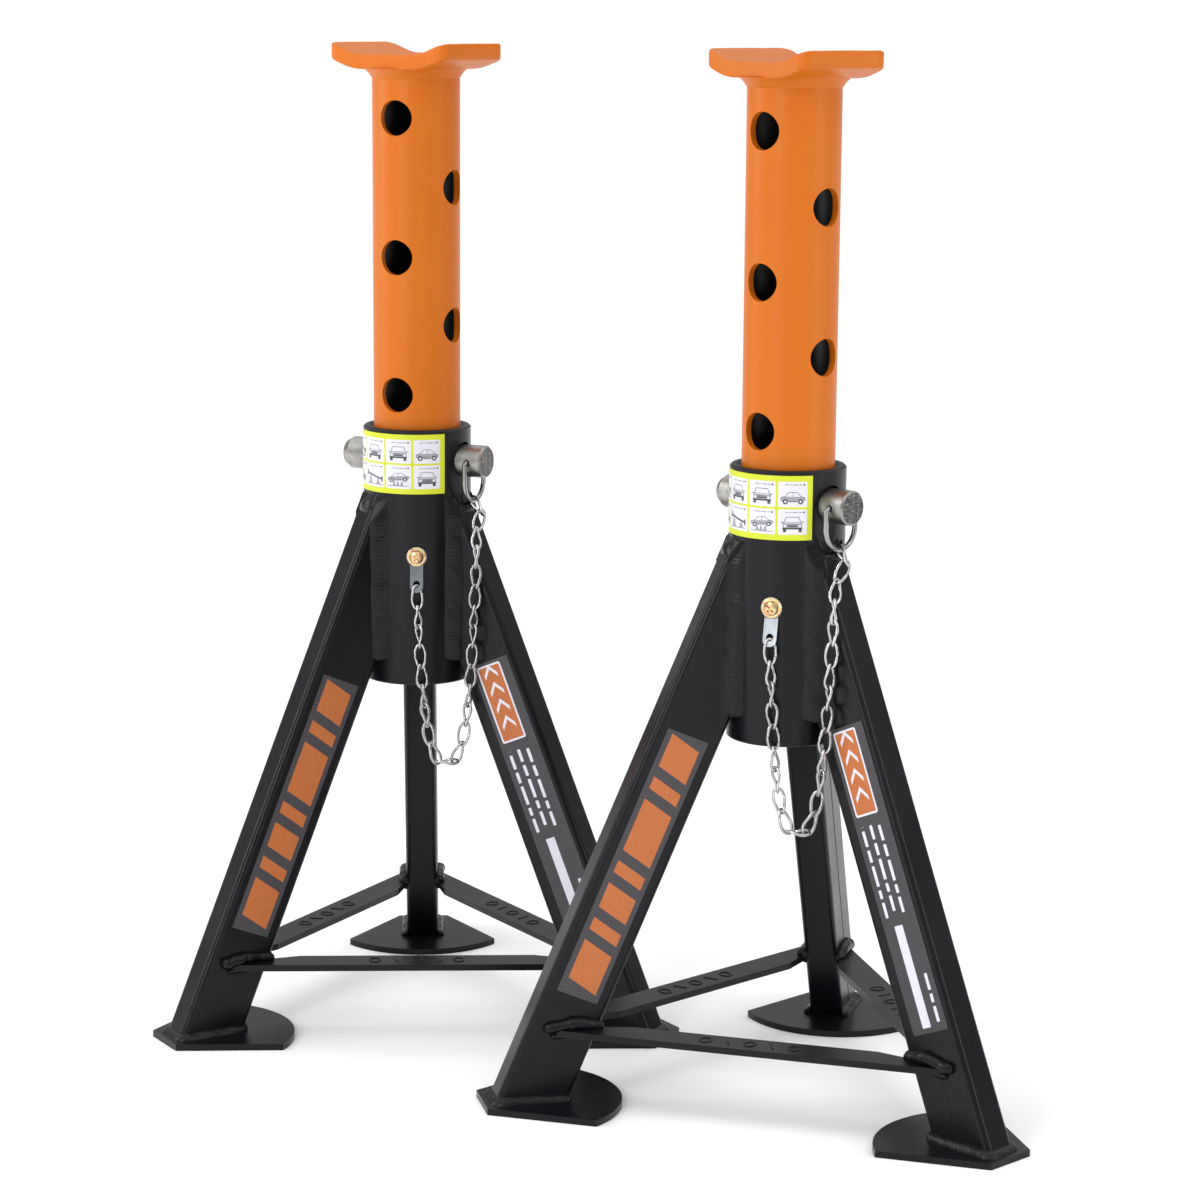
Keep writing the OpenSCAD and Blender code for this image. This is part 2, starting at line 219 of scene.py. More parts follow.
def tube(points, radius, sides=12, closed=False, normal=(0, 0, 1)):
    """Sweep with a radius per point: radius(i, angle) or a number."""
    pts = [Vector(p) for p in points]
    n = len(pts)
    verts, faces = [], []
    ref = Vector(normal)
    for i, p in enumerate(pts):
        a = pts[(i - 1) % n] if closed or i else pts[0]
        b = pts[(i + 1) % n] if closed or i < n - 1 else pts[-1]
        t = (b - a).normalized()
        u = ref - t * ref.dot(t)
        u = u.normalized() if u.length > 1e-6 else t.orthogonal().normalized()
        ref = u
        v = t.cross(u)
        for k in range(sides):
            q = 2 * math.pi * k / sides
            r = radius(i, q) if callable(radius) else radius
            verts.append(p + (u * math.cos(q) + v * math.sin(q)) * r)
    rings = n if closed else n - 1
    for i in range(rings):
        for k in range(sides):
            a, b = i * sides + k, i * sides + (k + 1) % sides
            c, d = (a + sides) % (n * sides), (b + sides) % (n * sides)
            faces.append((a, b, d, c))
    if not closed:
        faces.append(tuple(range(sides))[::-1])
        faces.append(tuple((n - 1) * sides + k for k in range(sides)))
    return verts, faces


def joined(parts):
    """Several (verts, faces) pairs as one."""
    verts, faces = [], []
    for v, f in parts:
        base = len(verts)
        verts += v
        faces += [tuple(i + base for i in q) for q in f]
    return verts, faces


BEAD_STEP = 0.55


def bead(points, size, seed, lump, ripple, pitch):
    """A weld bead: ripples one pitch apart, slow lumps and tapered ends."""
    pts = densify(points, BEAD_STEP)
    n = len(pts)
    for i, p in enumerate(pts):
        sway = Vector((noise(i * 0.11, seed), noise(i * 0.13, seed + 3), noise(i * 0.09, seed + 7)))
        p += sway * size * 0.07

    def radius(i, q):
        s = i * BEAD_STEP
        end = min(1, (i + 1) / 5, (n - i) / 5) ** 0.5
        chev = math.sin(2 * math.pi * (s + 0.5 * size * math.cos(q)) / pitch)
        return size * end * (1 + lump * noise(s * 0.13, seed) + ripple * chev)
    return tube(pts, radius, 14)


def slab(outline, lift, thick, place):
    """A thin flat shape: outline points (x, y) laid on the surface by place(x, y, height)."""
    n = len(outline)
    verts = [place(x, y, h) for h in (lift, lift + thick) for x, y in outline]
    faces = [tuple(range(n))[::-1], tuple(range(n, 2 * n))]
    faces += [(i, (i + 1) % n, n + (i + 1) % n, n + i) for i in range(n)]
    return verts, faces


# ---------------------------------------------------------------- materials

def node(tree, kind, **values):
    """A new node with its sockets or settings set by name."""
    nd = tree.nodes.new(kind)
    for k, v in values.items():
        if k in nd.inputs:
            nd.inputs[k].default_value = v
        else:
            setattr(nd, k, v)
    return nd


def ramp(tree, source, stops):
    """Colours picked by a value. stops = [(position, colour), ...]"""
    r = tree.nodes.new("ShaderNodeValToRGB")
    el = r.color_ramp.elements
    el[0].position, el[0].color = stops[0][0], (*stops[0][1], 1)
    el[1].position, el[1].color = stops[-1][0], (*stops[-1][1], 1)
    for pos, col in stops[1:-1]:
        e = el.new(pos)
        e.color = (*col, 1)
    tree.links.new(source, r.inputs[0])
    return r.outputs[0]


def coat_bump(tree, bsdf, scale, strength, distance, detail=3):
    """Fine orange peel. Returns the coordinates it is laid in."""
    co = node(tree, "ShaderNodeTexCoord")
    nz = node(tree, "ShaderNodeTexNoise", Scale=scale, Detail=detail)
    tree.links.new(co.outputs["Object"], nz.inputs["Vector"])
    bump = node(tree, "ShaderNodeBump", Strength=strength, Distance=distance)
    tree.links.new(nz.outputs["Fac"], bump.inputs["Height"])
    tree.links.new(bump.outputs["Normal"], bsdf.inputs["Normal"])
    return co


def rough_var(tree, bsdf, co, scale, low, high):
    """Roughness that wanders between low and high."""
    nz = node(tree, "ShaderNodeTexNoise", Scale=scale, Detail=5)
    tree.links.new(co.outputs["Object"], nz.inputs["Vector"])
    r = ramp(tree, nz.outputs["Fac"], [(0.35, (low,) * 3), (0.65, (high,) * 3)])
    tree.links.new(r, bsdf.inputs["Roughness"])


def powder_black():
    m, tree, bsdf = shader("powder_black")
    co = coat_bump(tree, bsdf, 1000, 0.26, 0.0003)
    rough_var(tree, bsdf, co, 14, 0.24, 0.34)
    tone = node(tree, "ShaderNodeTexNoise", Scale=9, Detail=6)
    tree.links.new(co.outputs["Object"], tone.inputs["Vector"])
    dark, light = (0.0034, 0.0031, 0.0048), (0.0054, 0.0049, 0.0074)
    tree.links.new(ramp(tree, tone.outputs["Fac"], [(0.3, dark), (0.7, light)]), bsdf.inputs["Base Color"])
    bsdf.inputs["Specular IOR Level"].default_value = 0.24
    return m


def orange_paint(name="orange_gloss", shaded_bore=None):
    """Gloss orange. A bore given as (x, y, radius) in metres gets the tube's inside wall painted near-black,
    a painted shade for the dark inside of the tube.
    """
    m, tree, bsdf = shader(name)
    co = coat_bump(tree, bsdf, 330, 0.10, 0.0004, 2)
    rough_var(tree, bsdf, co, 11, 0.34, 0.44)
    tone = node(tree, "ShaderNodeTexNoise", Scale=7, Detail=4)
    tree.links.new(co.outputs["Object"], tone.inputs["Vector"])
    colour = ramp(tree, tone.outputs["Fac"], [(0.3, (0.555, 0.130, 0.003)), (0.7, (0.60, 0.147, 0.005))])
    if shaded_bore:
        sep = node(tree, "ShaderNodeSeparateXYZ")
        tree.links.new(co.outputs["Object"], sep.inputs[0])
        sq = []
        for axis, c in ((0, shaded_bore[0]), (1, shaded_bore[1])):
            sub = node(tree, "ShaderNodeMath", operation="SUBTRACT")
            sub.inputs[1].default_value = c
            tree.links.new(sep.outputs[axis], sub.inputs[0])
            pw = node(tree, "ShaderNodeMath", operation="MULTIPLY")
            tree.links.new(sub.outputs[0], pw.inputs[0])
            tree.links.new(sub.outputs[0], pw.inputs[1])
            sq.append(pw)
        add = node(tree, "ShaderNodeMath", operation="ADD")
        tree.links.new(sq[0].outputs[0], add.inputs[0])
        tree.links.new(sq[1].outputs[0], add.inputs[1])
        cut = node(tree, "ShaderNodeMath", operation="GREATER_THAN")
        cut.inputs[1].default_value = shaded_bore[2] ** 2
        tree.links.new(add.outputs[0], cut.inputs[0])
        # painted shade: inside the bore the orange gives way to near-black, standing in for the shade in the
        # tube
        mix = node(tree, "ShaderNodeMix", data_type="RGBA")
        tree.links.new(cut.outputs[0], mix.inputs["Factor"])
        mix.inputs["A"].default_value = (0.006, 0.0055, 0.006, 1)
        tree.links.new(colour, mix.inputs["B"])
        colour = mix.outputs["Result"]
    tree.links.new(colour, bsdf.inputs["Base Color"])
    bsdf.inputs["Specular IOR Level"].default_value = 0.24
    return m


def metal(name, dark, light, rough, scale, bump=0.12):
    """Steel with upright streaks. rough = (smoothest, roughest)"""
    m, tree, bsdf = shader(name)
    co = node(tree, "ShaderNodeTexCoord")
    mp = node(tree, "ShaderNodeMapping")
    mp.inputs["Scale"].default_value = (1, 1, 0.25)
    tree.links.new(co.outputs["Object"], mp.inputs["Vector"])
    nz = node(tree, "ShaderNodeTexNoise", Scale=scale, Detail=8)
    tree.links.new(mp.outputs[0], nz.inputs["Vector"])
    tree.links.new(ramp(tree, nz.outputs["Fac"], [(0.35, dark), (0.66, light)]), bsdf.inputs["Base Color"])
    tree.links.new(ramp(tree, nz.outputs["Fac"], [(0.3, (rough[1],) * 3), (0.7, (rough[0],) * 3)]),
                   bsdf.inputs["Roughness"])
    fine = node(tree, "ShaderNodeTexNoise", Scale=scale * 12, Detail=4)
    tree.links.new(mp.outputs[0], fine.inputs["Vector"])
    bp = node(tree, "ShaderNodeBump", Strength=bump, Distance=0.0003)
    tree.links.new(fine.outputs["Fac"], bp.inputs["Height"])
    tree.links.new(bp.outputs["Normal"], bsdf.inputs["Normal"])
    bsdf.inputs["Metallic"].default_value = 1
    return m


def scratched(name, axis):
    """Turned steel: soft bands round the barrel, crossed saw marks on the two ends."""
    m, tree, bsdf = shader(name)
    co = node(tree, "ShaderNodeTexCoord")

    def marks(turn, scale, squash):
        mp = node(tree, "ShaderNodeMapping")
        mp.inputs["Rotation"].default_value = turn
        mp.inputs["Scale"].default_value = squash
        nz = node(tree, "ShaderNodeTexNoise", Scale=scale, Detail=6)
        tree.links.new(co.outputs["Object"], mp.inputs["Vector"])
        tree.links.new(mp.outputs[0], nz.inputs["Vector"])
        return nz.outputs["Fac"]
    geo = node(tree, "ShaderNodeNewGeometry")
    dot = node(tree, "ShaderNodeVectorMath", operation="DOT_PRODUCT")
    dot.inputs[1].default_value = axis
    tree.links.new(geo.outputs["Normal"], dot.inputs[0])
    side = node(tree, "ShaderNodeMath", operation="ABSOLUTE")
    tree.links.new(dot.outputs["Value"], side.inputs[0])
    end = node(tree, "ShaderNodeMath", operation="GREATER_THAN")
    end.inputs[1].default_value = 0.97
    tree.links.new(side.outputs[0], end.inputs[0])
    soft = marks((0, 0, 0), 120, (1, 1, 1))
    a = marks((0, math.radians(35), 0), 1700, (1, 1, 0.022))
    b = marks((math.radians(60), 0, math.radians(20)), 2000, (1, 0.025, 1))
    cross = node(tree, "ShaderNodeMath", operation="MAXIMUM")
    tree.links.new(a, cross.inputs[0])
    tree.links.new(b, cross.inputs[1])
    barrel = ramp(tree, soft, [(0.3, (0.23, 0.222, 0.21)), (0.7, (0.44, 0.43, 0.41))])
    face = ramp(tree, cross.outputs[0], [(0.5, (0.07, 0.07, 0.07)), (0.62, (0.20, 0.20, 0.195)),
                                         (0.74, (0.62, 0.61, 0.59))])
    mix = node(tree, "ShaderNodeMix", data_type="RGBA")
    tree.links.new(end.outputs[0], mix.inputs["Factor"])
    tree.links.new(barrel, mix.inputs["A"])
    tree.links.new(face, mix.inputs["B"])
    tree.links.new(mix.outputs["Result"], bsdf.inputs["Base Color"])
    tree.links.new(ramp(tree, cross.outputs[0], [(0.4, (0.27,) * 3), (0.75, (0.42,) * 3)]),
                   bsdf.inputs["Roughness"])
    bump = node(tree, "ShaderNodeBump", Strength=0.3, Distance=0.0003)
    tree.links.new(cross.outputs[0], bump.inputs["Height"])
    tree.links.new(bump.outputs["Normal"], bsdf.inputs["Normal"])
    bsdf.inputs["Metallic"].default_value = 1
    return m


def passivated():
    """Yellow zinc with its pink and green bloom."""
    m, tree, bsdf = shader("yellow_zinc")
    co = coat_bump(tree, bsdf, 1500, 0.08, 0.0002)
    bloom = node(tree, "ShaderNodeTexNoise", Scale=260, Detail=2, Distortion=0.8)
    tree.links.new(co.outputs["Object"], bloom.inputs["Vector"])
    tree.links.new(ramp(tree, bloom.outputs["Fac"], [(0.30, (0.62, 0.28, 0.20)), (0.45, (0.78, 0.50, 0.26)),
                                                     (0.58, (0.80, 0.66, 0.36)), (0.70, (0.46, 0.50, 0.26))]),
                   bsdf.inputs["Base Color"])
    bsdf.inputs["Roughness"].default_value = 0.24
    bsdf.inputs["Metallic"].default_value = 1
    return m


def vinyl(name, low, high, rough, speckle=700):
    """Printed film with a faint speckle."""
    m, tree, bsdf = shader(name)
    co = coat_bump(tree, bsdf, 420, 0.06, 0.0003)
    tone = node(tree, "ShaderNodeTexNoise", Scale=speckle, Detail=3)
    tree.links.new(co.outputs["Object"], tone.inputs["Vector"])
    tree.links.new(ramp(tree, tone.outputs["Fac"], [(0.3, low), (0.7, high)]), bsdf.inputs["Base Color"])
    bsdf.inputs["Roughness"].default_value = rough
    return m


BLACK = powder_black()
ORANGE = orange_paint()
WIRE = metal("chain_steel", (0.40, 0.40, 0.405), (0.60, 0.60, 0.605), (0.09, 0.16), 90, bump=0.015)
RING = metal("ring_steel", (0.22, 0.22, 0.22), (0.40, 0.40, 0.40), (0.15, 0.25), 90, bump=0.03)
ZINC = metal("zinc_plate", (0.20, 0.215, 0.235), (0.31, 0.33, 0.35), (0.3, 0.42), 120)
GOLD = passivated()
LIME = vinyl("lime_vinyl", (0.58, 0.64, 0.012), (0.63, 0.69, 0.018), 0.42)
PALE = vinyl("pale_vinyl", (0.69, 0.68, 0.76), (0.74, 0.73, 0.81), 0.4)
INK = vinyl("ink", (0.035, 0.035, 0.045), (0.07, 0.07, 0.085), 0.5)
FADE = vinyl("pale_ink", (0.28, 0.28, 0.32), (0.36, 0.36, 0.4), 0.5)
DARK = vinyl("dark_vinyl", (0.030, 0.028, 0.032), (0.062, 0.058, 0.066), 0.45, 1500)
AMBER = vinyl("amber_vinyl", (0.46, 0.125, 0.026), (0.52, 0.145, 0.032), 0.4)

# ---------------------------------------------------------------- sizes, in mm

SLEEVE_R = 33.6
COLUMN_R, COLUMN_WALL, COLUMN_TOP = 27, 4, 593.02
LEG_REACH, LEAN, LEG_DEEP, LEG_WIDE = 175.2, math.radians(23.1), 40.4, 21
SLOPE = math.tan(LEAN)
LEG_CORNER = 3.6
FOOT_T, BRACE_TOP, BRACE_MID = 4, 47, 70
LABEL_TOP = 0.27  # how far a label's face stands off its tube
LEGS = {"left": 210, "right": 330, "back": 90}


def polar(angle, r, t, z):
    """r mm out from the column's axis along a direction in degrees, t mm across it."""
    a = math.radians(angle)
    return Vector((r * math.cos(a) - t * math.sin(a), r * math.sin(a) + t * math.cos(a), z))


def on_leg(angle, side, along, depth, lift):
    """A point on a leg's side face: along the tube from the floor line, depth in from its outer face."""
    r = LEG_REACH - along * math.sin(LEAN) - depth * math.cos(LEAN)
    z = along * math.cos(LEAN) - depth * math.sin(LEAN)
    return polar(angle, r, side * (LEG_WIDE / 2 + lift), z)


# ---------------------------------------------------------------- welded frame

def fillet(stations, seed, ripple=0.09, pitch=2.4, steps=10):
    """A weld along a corner. Each station is (one toe, other toe, root, bulge, size)."""
    verts, faces, s, last = [], [], 0, None
    for i, (p, q, root, bulge, size) in enumerate(stations):
        p, q, root = Vector(p), Vector(q), Vector(root)
        mid = (p + q) / 2
        ctrl = mid + (mid - root) * bulge
        s += (mid - last).length if last else 0
        last = mid
        for k in range(steps + 1):
            u = k / steps
            v = (1 - u) ** 2 * p + 2 * u * (1 - u) * ctrl + u * u * q
            h = math.sin(math.pi * u) ** 0.7 if 0 < u < 1 else 0
            wave = ripple * math.sin(2 * math.pi * (s + 2.2 * h) / pitch) + 0.26 * noise(s * 0.10 + u, seed) \
                + 0.12 * noise(s * 0.3 + u * 2, seed + 4)
            verts.append(root + (v - root) * (1 + size * h * wave / max(1, (v - root).length)))
        verts.append(root)
    n = steps + 2
    for i in range(len(stations) - 1):
        for k in range(n):
            a, b = i * n + k, i * n + (k + 1) % n
            faces.append((a, b, b + n, a + n))
    faces.append(tuple(range(n))[::-1])
    faces.append(tuple((len(stations) - 1) * n + k for k in range(n)))
    return verts, faces


def taper(x, length, ramp_len):
    """0..1 size along a bead, rounded off at both ends."""
    e = min(x, length - x) / ramp_len
    return 1 if e >= 1 else 0.12 + 0.88 * math.sqrt(max(0, 1 - (1 - e) ** 2))


def upright_weld(angle, s, seed):
    """Between the sleeve and one side face of a leg."""
    flank = math.sqrt(SLEEVE_R ** 2 - (LEG_WIDE / 2) ** 2)
    low = (LEG_REACH - LEG_DEEP / math.cos(LEAN) - flank) / SLOPE - 5
    high = (LEG_REACH - flank) / SLOPE - 4
    t0 = math.asin(LEG_WIDE / 2 / SLEEVE_R)
    stations, z = [], low
    while z <= high:
        k = taper(z - low, high - low + 6, 4)
        room = LEG_REACH - z * SLOPE - flank - 0.4
        wide = 7.0 + 1.0 * noise(z * 0.045, seed)
        on = max(0.6, min(wide, room)) * k
        off = (6.2 + 0.6 * noise(z * 0.05, seed + 9)) * k / SLEEVE_R
        r = SLEEVE_R - 0.05
        foot = polar(angle, r * math.cos(t0 + off), s * r * math.sin(t0 + off), z)
        stations.append((foot, polar(angle, flank + on, s * (LEG_WIDE / 2 - 0.05), z),
                         polar(angle, flank - 0.8, s * (LEG_WIDE / 2 - 0.8), z), 0.28, k))
        z += 0.7
    return fillet(stations, seed)


def foot_weld(angle, seed):
    """Round three sides of a leg where it stands on its foot plate."""
    out_r = LEG_REACH - FOOT_T * SLOPE
    half, corner = LEG_WIDE / 2, LEG_CORNER
    run, steps = 45, 60  # length of each side run, and the points along it

    def round_corner(side, first):
        for q in range(first, first + 91, 9):
            c, sn = math.cos(math.radians(q)), math.sin(math.radians(q))
            path.append((out_r - corner + corner * c, side * (half - corner) + corner * sn, c, sn))
    # out, across and out again, as (r, t, normal r, normal t)
    path = [(out_r - run + (run - corner) * i / steps, -half, 0, -1) for i in range(steps)]
    round_corner(-1, -90)
    path += [(out_r, (half - corner) * (i / 10 - 1), 1, 0) for i in range(1, 20)]
    round_corner(1, 0)
    path += [(out_r - corner - (run - corner) * (i + 1) / steps, half, 0, 1) for i in range(steps)]
    s, total = [0], 0
    for p, q in zip(path, path[1:]):
        total += math.hypot(q[0] - p[0], q[1] - p[1])
        s.append(total)
    stations = []
    for (r, t, nr, nt), at in zip(path, s):
        k = taper(at, total, 3.5)
        w = (4.4 + 0.5 * noise(at * 0.06, seed) - 1.1 * max(0, nr)) * k
        stations.append((polar(angle, r + nr * w, t + nt * w, FOOT_T - 0.03),
                         polar(angle, r - 0.05 * nr - w * SLOPE, t - 0.05 * nt, FOOT_T + w),
                         polar(angle, r - nr * 0.8, t - nt * 0.8, FOOT_T - 0.5), 0.42, k))
    return fillet(stations, seed, 0.07, 2.8)


def cap_weld(angle, seed):
    """Over the rounded top of a leg, from the sleeve down on to the outer face."""
    top = (LEG_REACH - SLEEVE_R) / SLOPE
    stations = []
    for d in range(-62, 63, 2):
        a = d / 62
        t = 11.6 * math.sin(a * math.pi / 2)
        drop = 9.5 * (1 - math.cos(a * math.pi / 2)) + 1.5
        k = taper((a + 1) * 15, 30, 5)
        r = math.sqrt(SLEEVE_R ** 2 - t * t)
        z = top - drop - 3
        lump = 1 + 0.12 * noise(a * 2.2, seed)
        stations.append((polar(angle, r - 0.1, t, z + 4.2 * k * lump),
                         polar(angle, r + (1.0 + 3.8 * k) * math.cos(a * 1.2), t * 1.06, z - 5.4 * k * lump),
                         polar(angle, r - 1.5, t * 0.9, z - 1), 1.0 * k * lump, 0.7 * k))
    return fillet(stations, seed, 0.04, 3.4)


def frame_welds(st):
    """All of a leg's weld beads, and the leg tube's own seam."""
    k = 1 if st.key == "a" else 2  # keeps the two stands' beads from being alike
    for leg, angle in LEGS.items():
        parts = [upright_weld(angle, s, angle * 0.7 + s + k) for s in (-1, 1)]
        parts.append(cap_weld(angle, angle * 1.3 + k))
        parts.append(foot_weld(angle, angle + 11 + k))
        for s in (-1, 1):
            over = [polar(angle, 110 + 35 * i / 14, s * (LEG_WIDE / 2 + 0.9),
                          BRACE_TOP + 0.3 + 2.6 * math.sin(math.pi * i / 14)) for i in range(15)]
            under = [polar(angle, 114 + 27 * u, s * (LEG_WIDE / 2 + 0.3), BRACE_TOP - 4.1) for u in (0, 1)]
            parts.append(bead(over, 3.8, angle + 31 * s + k, 0.22, 0.025, 3.6))
            parts.append(bead(under, 2.0, angle + 41 * s + k, 0.2, 0.03, 2.8))
        v, f = joined(parts)
        build("welds_" + leg, st, v, f, BLACK)
        seam = [on_leg(angle, -1, 14 + i * 3, 20 + 0.15 * noise(i, angle), -0.12) for i in range(74)]
        v, f = tube(seam, 0.34, 8)
        build("seam_" + leg, st, v, f, BLACK)


def brace_marks(st):
    """Plain raised rings and strokes in the middle of each bar."""
    gap, half_high = 13, 4.2
    for name, angle in (("front", 270), ("left", 150), ("right", 30)):
        parts = []

        def place(x, y, h):
            return polar(angle, BRACE_MID + y, x, BRACE_TOP + h)
        for i, kind in enumerate("obobo"):
            cx = (i - 2) * gap
            if kind == "o":
                turns = [2 * math.pi * j / 24 for j in range(24)]
                ring = [place(cx + 3.4 * math.cos(q), half_high * math.sin(q), 0.05) for q in turns]
                parts.append(tube(ring, 0.55, 8, closed=True))
            else:
                ends = [place(cx - 1.5, -half_high, 0.05), place(cx + 1.5, half_high, 0.05)]
                parts.append(tube(densify(ends, 1), 0.55, 8))
        v, f = joined(parts)
        build("marks_" + name, st, v, f, BLACK)


# ---------------------------------------------------------------- column top

SADDLE_LEN, SADDLE_WIDE, SADDLE_T, SADDLE_ANGLE = 92, 60, 9.4, math.radians(-38.5)
FLAT, TROUGH_R, WING = 19, 42, math.radians(18.5)
SADDLE_CORNER, SADDLE_ROUND = 7, 1.5


def trough(u):
    """Height and slope of the plate's middle line, u mm from the trough's centre."""
    u = abs(u)
    if u < FLAT:
        return 0, 0
    if u < FLAT + TROUGH_R * math.sin(WING):
        a = math.asin((u - FLAT) / TROUGH_R)
        return TROUGH_R * (1 - math.cos(a)), a
    return TROUGH_R * (1 - math.cos(WING)) + (u - FLAT - TROUGH_R * math.sin(WING)) * math.tan(WING), WING


def skin(rows, n):
    """Faces over stacked loops of n points, with the first and last loop closed."""
    faces = [(a * n + i, a * n + (i + 1) % n, (a + 1) * n + (i + 1) % n, (a + 1) * n + i)
             for a in range(rows - 1) for i in range(n)]
    return faces + [tuple(range(n))[::-1], tuple((rows - 1) * n + i for i in range(n))]


def saddle(st):
    """The bent plate with its edges and corners rounded over."""
    edge = []
    r = SADDLE_CORNER
    x0, y0 = SADDLE_LEN / 2 - r, SADDLE_WIDE / 2 - r
    for cx, cy, q0 in ((x0, y0, 0), (-x0, y0, 90), (-x0, -y0, 180), (x0, -y0, 270)):
        for i in range(9):
            q = math.radians(q0 + 90 * i / 8)
            edge.append((cx + r * math.cos(q), cy + r * math.sin(q), math.cos(q), math.sin(q)))
    outline = []
    for a, b in zip(edge, edge[1:] + edge[:1]):
        n = max(1, round(math.hypot(b[0] - a[0], b[1] - a[1]) / 1.6))
        outline += [tuple(a[j] + (b[j] - a[j]) * i / n for j in range(4)) for i in range(n)]
    n, e = len(outline), SADDLE_ROUND
    # loops from the middle of the top, out over the rounded edge and back under to the middle
    fills = [1 - k / 18 for k in range(17, 0, -1)]
    rows = [("fill", f, 1) for f in fills]
    rows += [("edge", q, 1) for q in (90, 68, 45, 22, 0)] + [("edge", q, -1) for q in (0, 22, 45, 68, 90)]
    rows += [("fill", f, -1) for f in reversed(fills)]
    c, sn = math.cos(SADDLE_ANGLE), math.sin(SADDLE_ANGLE)
    verts = []
    for kind, v, side in rows:
        for x, y, nx, ny in outline:
            if kind == "fill":
                px, py, dz = (x - nx * e) * v, (y - ny * e) * v, 0
            else:
                a = math.radians(v)
                back = e * (1 - math.cos(a))
                px, py, dz = x - nx * back, y - ny * back, -e * (1 - math.sin(a))
            z, slope = trough(px)
            z += SADDLE_T / 2 + side * (SADDLE_T / 2 / math.cos(slope) + dz)
            wob = 0.10 * noise(px * 0.21 + py * 0.13, 3) + 0.05 * noise(py * 0.6 - px * 0.3, 8)
            px, py, z = px + wob * nx, py + wob * ny, z + (wob * 0.8 if side > 0 else 0)
            verts.append((px * c - py * sn, px * sn + py * c, COLUMN_TOP + z))
    faces = skin(len(rows), n)
    build("saddle_plate", st, verts, faces, ORANGE, body=st.n("column"),
          replaces=("saddle",))


def saddle_weld(st):
    """The round weld under the plate, drawn out a little along the wings."""
    n = 120
    # radius, height from the column's top, and how far the loop follows the wings
    rows = [(26.9, -5.2, 0), (27.25, -4.9, 0.3), (27.8, -4.0, 0.6), (28.6, -2.7, 0.8),
            (29.6, -1.5, 1), (30.8, -0.5, 1), (31.6, 0.5, 1), (29, 1.2, 0)]
    verts = []
    for r0, z, w in rows:
        for i in range(n):
            q = 2 * math.pi * i / n
            bump = 0.45 * w * noise(math.cos(q) * 4 + math.sin(q) * 2.6, 5)
            bump += 0.10 * w * math.sin(i * 2 * math.pi / 5)
            r = r0 + bump
            lift, _ = trough(r * math.cos(q - SADDLE_ANGLE))
            verts.append((r * math.cos(q), r * math.sin(q), COLUMN_TOP + z + lift * w + 0.2 * bump))
    faces = skin(len(rows), n)
    build("saddle_weld", st, verts, faces, ORANGE, body=st.n("column"))


# ---------------------------------------------------------------- keeper chain

CHAIN_BEND, CHAIN_LOW, LINKS, WIRE_D, LINK_WIDE, SLACK = 4.6, 163, 24, 1.8, 8.4, 0.4
PIN_Z, PIN_ANGLE, RING_R, RING_DROP, RING_WIRE = 353.27, math.radians(-28), 40.3, 24.8, 3.0
TAB_HOLE_Z, TAB_HOLE_R = 279, 2.1
CHAIN_OFF = 4.62  # from the sleeve's wall to the hanging chain's plane
LEAN_IN = 27.6  # how far below the ring the chain leaves its hanging curve
LINK_TWIST, LINK_TURN, LINK_FIRST = math.radians(41.6), 48.4, 52


def chain_joints():
    """Points where neighbouring links meet, from the tab to the ring."""
    y = -(SLEEVE_R + CHAIN_OFF)
    top = TAB_HOLE_Z - TAB_HOLE_R + WIRE_D / 2 + SLACK
    end = Vector((RING_R * math.cos(PIN_ANGLE), RING_R * math.sin(PIN_ANGLE), PIN_Z - RING_DROP))
    a = CHAIN_BEND

    def arc_to(h):
        return math.sqrt((h + a) ** 2 - a * a)
    s_left, s_turn = arc_to(top - CHAIN_LOW), arc_to(end.z - LEAN_IN - CHAIN_LOW)
    mid = a * math.asinh(s_left / a)

    def hang(s):
        return Vector((mid + a * math.asinh(s / a), y, CHAIN_LOW + math.sqrt(a * a + s * s) - a))
    # the hanging curve, then a smooth lead over the leg's corner to the ring
    p0 = hang(s_turn)
    p1, p2 = p0 + Vector((-4.25, 10.5, 16.4)), end + Vector((13, -1.4, -1.1))
    route = [hang(-s_left + (s_left + s_turn) * i / 240) for i in range(241)]
    route += [(1 - u) ** 3 * p0 + 3 * u * (1 - u) ** 2 * p1 + 3 * u * u * (1 - u) * p2 + u ** 3 * end
              for u in [i / 48 for i in range(1, 49)]]
    miles = [0]
    for p, q in zip(route, route[1:]):
        miles.append(miles[-1] + (q - p).length)

    def at(s):
        last = len(miles) - 1
        i = max(1, next((j for j, v in enumerate(miles) if v >= s), last))
        u = max(0, min(1, (s - miles[i - 1]) / (miles[i] - miles[i - 1])))
        return route[i - 1].lerp(route[i], u)
    gap = RING_WIRE / 2 + WIRE_D / 2 + 0.1
    pitch = (miles[-1] + gap - WIRE_D - SLACK) / LINKS
    half = (pitch + WIRE_D + SLACK) / 2
    return [at(half + (i - 0.5) * pitch) for i in range(LINKS + 1)], half


def link_mesh(a, b, half, turn):
    """A twisted link between joints a and b, as an oval loop bent round its own axis."""
    t = (b - a).normalized()
    n0 = (Vector((0, 1, 0)) - t * t.y).normalized()
    b0 = t.cross(n0)
    mid = (a + b) / 2
    wide, n = (LINK_WIDE - WIRE_D) / 2, 44
    pts = []
    for i in range(n):
        c, sn = math.cos(2 * math.pi * i / n), math.sin(2 * math.pi * i / n)
        w, z = wide * math.copysign(abs(c) ** 0.86, c), half * math.copysign(abs(sn) ** 0.86, sn)
        s = max(-1, min(1, z / (half - WIRE_D)))
        q = turn + LINK_TWIST / 2 * (1 + math.sin(s * math.pi / 2))
        pts.append(mid + t * z + (n0 * math.cos(q) + b0 * math.sin(q)) * w)
    return tube(pts, WIRE_D / 2, 10, closed=True, normal=tuple(b0))


